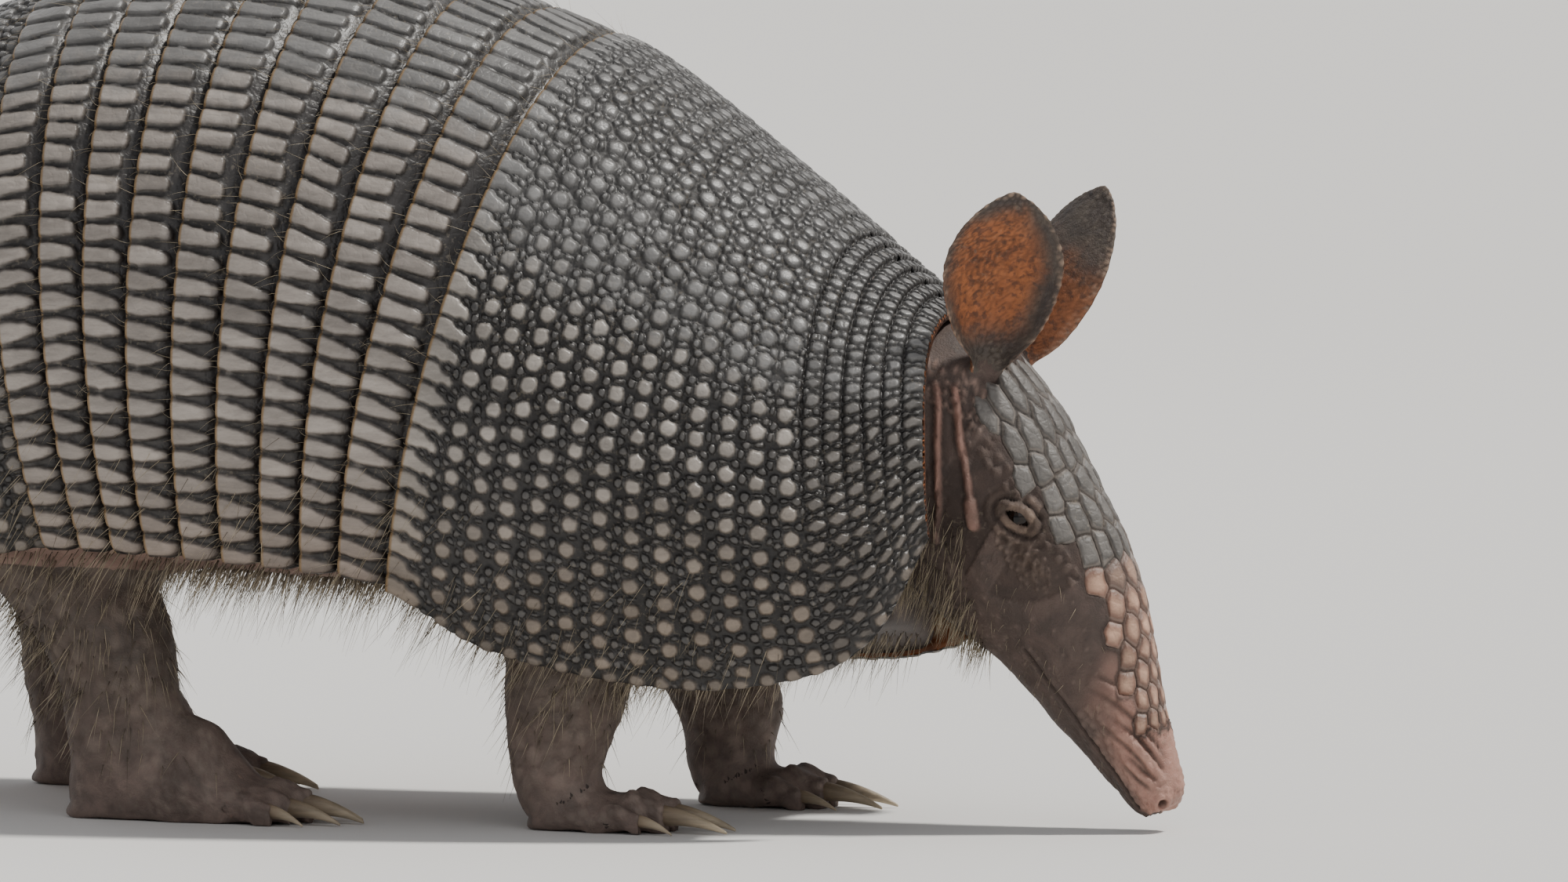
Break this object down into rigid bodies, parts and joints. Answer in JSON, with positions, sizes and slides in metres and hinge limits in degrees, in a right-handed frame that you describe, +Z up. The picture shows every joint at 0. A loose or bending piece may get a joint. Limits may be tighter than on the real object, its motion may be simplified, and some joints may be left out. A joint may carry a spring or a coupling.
{
  "type": "nine-banded armadillo",
  "caption": "Life-size still model of an adult nine-banded armadillo walking with its snout lowered to the ground, banded shell, upright ears and a long ringed tail.",
  "frame": {"origin": "on the floor under the middle of the whole animal's box, snout tip to tail tip", "axes": "+X forwards towards the snout, +Y to the animal's left, +Z up"},
  "size_m": [0.6198, 0.1562, 0.206],
  "materials": {
    "skin": "dark brown wrinkled skin, pinkish on the snout, sparse bristles",
    "shell": "slate-grey horny scales over bone with cream raised scutes, satin",
    "tail_armour": "grey-brown ringed scales, satin",
    "eye": "near-black, wet gloss",
    "claw": "worn horn, earth-stained"
  },
  "bodies": {
    "root": {"head": "skin", "lower_jaw": "skin", "neck": "skin", "trunk": "skin", "ear_left": "skin", "ear_right": "skin", "foreleg_left": "skin", "foreleg_right": "skin", "forefoot_left": "skin", "forefoot_right": "skin", "hindleg_left": "skin", "hindleg_right": "skin", "hindfoot_left": "skin", "hindfoot_right": "skin", "scapular_shield": "shell", "band_1": "shell", "band_2": "shell", "band_3": "shell", "band_4": "shell", "band_5": "shell", "band_6": "shell", "band_7": "shell", "band_8": "shell", "band_9": "shell", "pelvic_shield": "shell", "head_shield": "shell", "tail_base": "tail_armour", "tail_middle": "tail_armour", "tail_tip": "tail_armour", "eye_left": "eye", "eye_right": "eye", "foreclaw_left_1": "claw", "foreclaw_left_2": "claw", "foreclaw_left_3": "claw", "foreclaw_left_4": "claw", "foreclaw_right_1": "claw", "foreclaw_right_2": "claw", "foreclaw_right_3": "claw", "foreclaw_right_4": "claw", "hindclaw_left_1": "claw", "hindclaw_left_2": "claw", "hindclaw_left_3": "claw", "hindclaw_left_4": "claw", "hindclaw_left_5": "claw", "hindclaw_right_1": "claw", "hindclaw_right_2": "claw", "hindclaw_right_3": "claw", "hindclaw_right_4": "claw", "hindclaw_right_5": "claw"}
  },
  "joints": []
}
